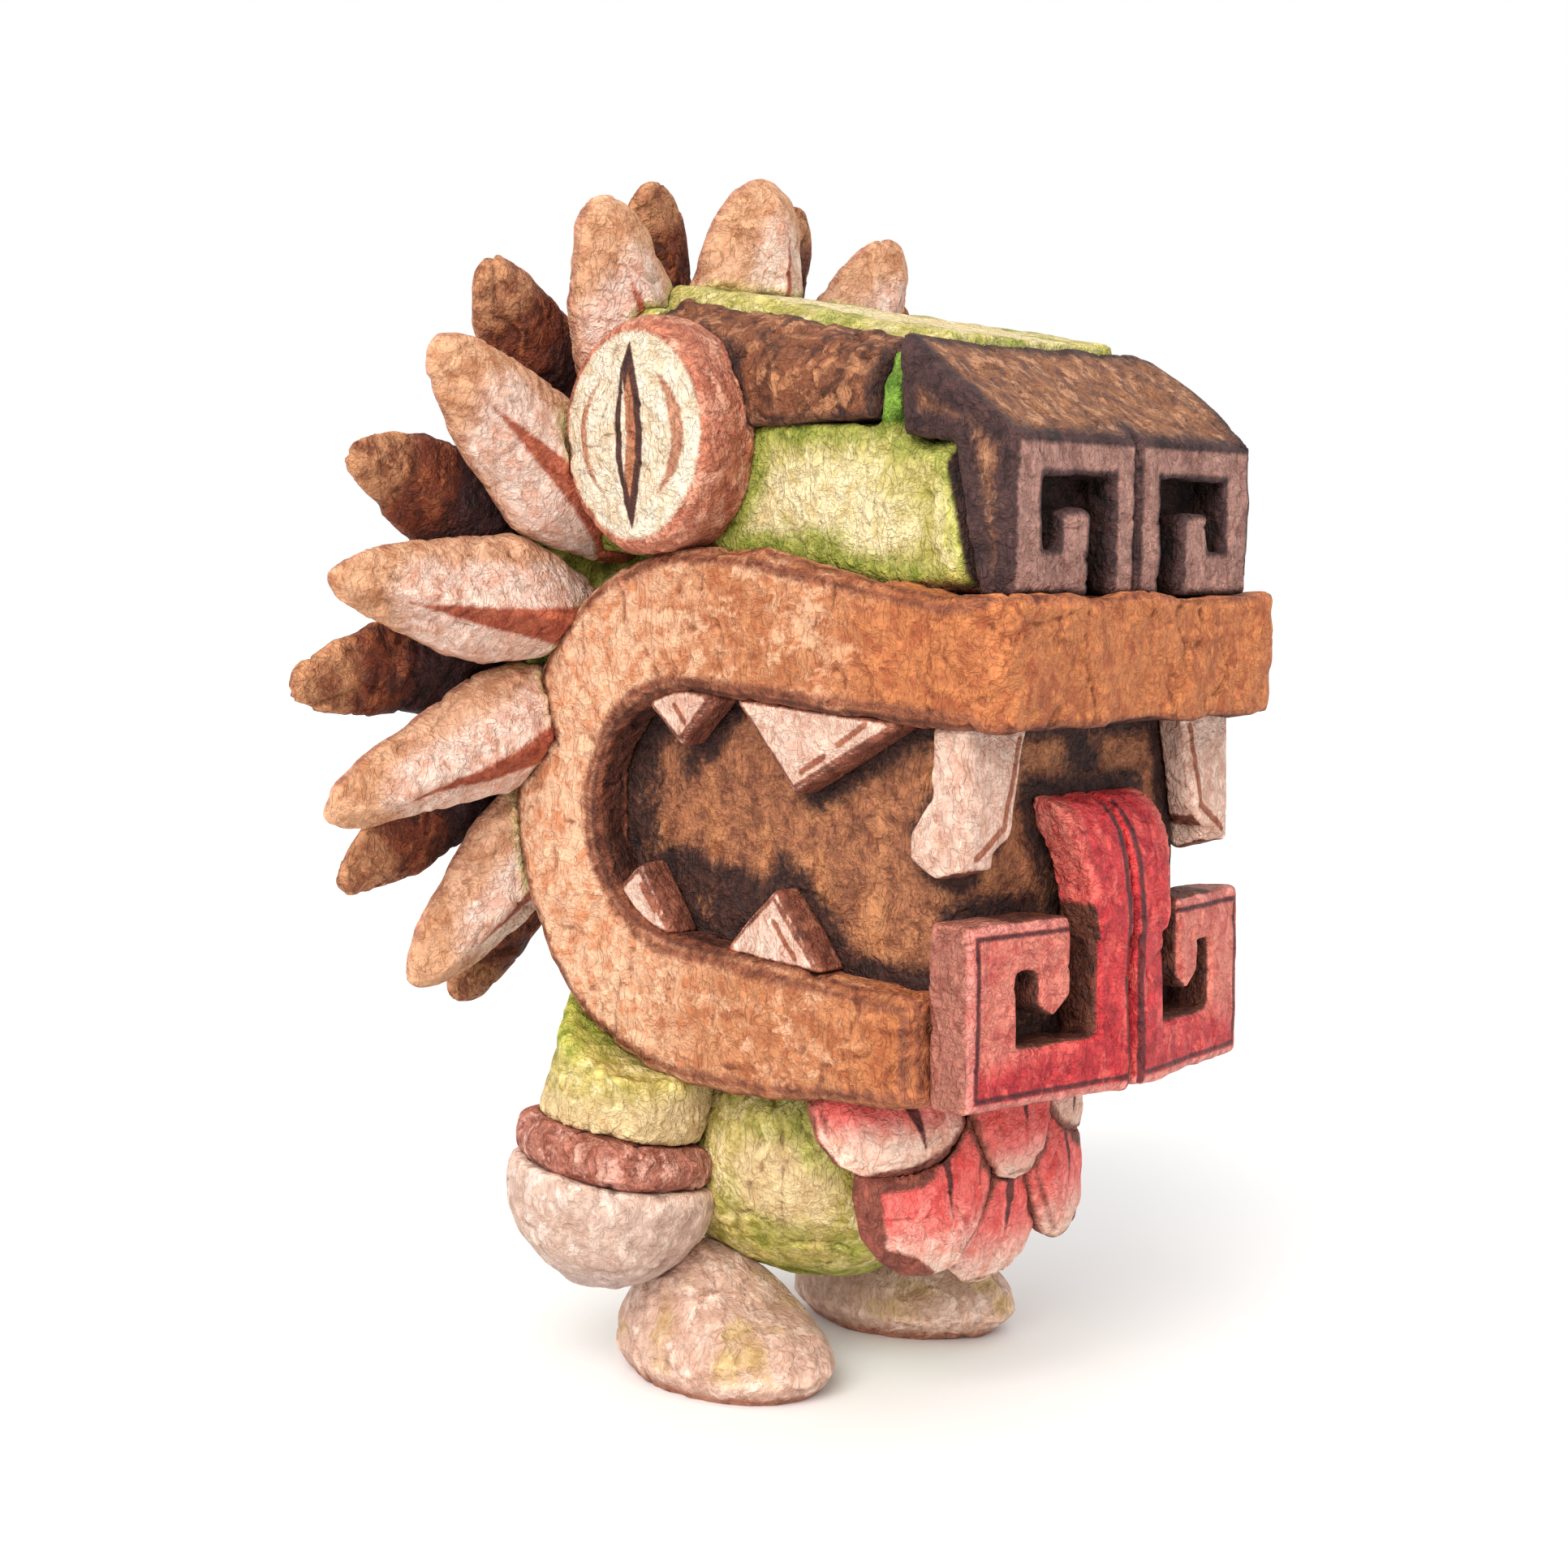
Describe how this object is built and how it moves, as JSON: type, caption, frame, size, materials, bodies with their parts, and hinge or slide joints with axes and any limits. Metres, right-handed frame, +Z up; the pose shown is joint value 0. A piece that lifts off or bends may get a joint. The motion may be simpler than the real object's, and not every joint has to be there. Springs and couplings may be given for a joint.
{
  "type": "feathered serpent figurine",
  "caption": "Free-standing painted papier-mache figurine of a feathered serpent: a long box head with open jaws and scrolled tongue, a feather ruff, and a small body on two feet.",
  "frame": {"origin": "floor level, under the middle of the bounding box", "axes": "+Z up, the face looks along -Y, +X to the figure's own left"},
  "size_m": [0.1402, 0.1058, 0.1722],
  "materials": {
    "core": "yellow-green paint over fibrous paper, moss green in the creases",
    "band": "copper-tan fibrous paper with darker brown edges",
    "nose": "mauve brown face and dark brown sides",
    "brow": "dark brown fibrous paper",
    "eye": "cream with a dark slit pupil, brown arcs and a red-brown rim",
    "tooth": "cream faces with brown edges and dashes",
    "tongue": "crimson fading to pink, with a thin dark outline",
    "light": "pinkish cream with red-brown streaks and tan tips",
    "dark": "dark brown fibrous paper, nearly black at the root",
    "body": "yellow-green paint fading to cream at the wrists",
    "cuff": "dark red-brown",
    "hand": "cream white",
    "foot": "pale cream pink with ochre spots",
    "petal": "coral red fading to peach, with dark slits",
    "peg": "bare wood"
  },
  "bodies": {
    "root": {"arm_left": "body", "arm_right": "body", "breast_feather_bottom": "petal", "breast_feather_middle_left": "petal", "breast_feather_middle_right": "petal", "breast_feather_top_left": "petal", "breast_feather_top_middle": "petal", "breast_feather_top_right": "petal", "brow_left": "brow", "brow_right": "brow", "cuff_left": "cuff", "cuff_right": "cuff", "dark_feather_left_1": "dark", "dark_feather_left_2": "dark", "dark_feather_left_3": "dark", "dark_feather_left_4": "dark", "dark_feather_left_5": "dark", "dark_feather_left_6": "dark", "dark_feather_right_1": "dark", "dark_feather_right_2": "dark", "dark_feather_right_3": "dark", "dark_feather_right_4": "dark", "dark_feather_right_5": "dark", "dark_feather_right_6": "dark", "eye_left": "eye", "eye_right": "eye", "fang_left": "tooth", "fang_right": "tooth", "foot_left": "foot", "foot_right": "foot", "hand_left": "hand", "hand_right": "hand", "head_core": "core", "light_feather_left_1": "light", "light_feather_left_2": "light", "light_feather_left_3": "light", "light_feather_left_4": "light", "light_feather_left_5": "light", "light_feather_right_1": "light", "light_feather_right_2": "light", "light_feather_right_3": "light", "light_feather_right_4": "light", "light_feather_right_5": "light", "light_feather_top": "light", "lower_front_tooth_left": "tooth", "lower_front_tooth_right": "tooth", "lower_rear_tooth_left": "tooth", "lower_rear_tooth_right": "tooth", "mouth_band": "band", "neck_peg": "peg", "nose_block": "nose", "tongue_left": "tongue", "tongue_right": "tongue", "torso": "body", "upper_front_tooth_left": "tooth", "upper_front_tooth_right": "tooth", "upper_rear_tooth_left": "tooth", "upper_rear_tooth_right": "tooth"}
  },
  "joints": []
}
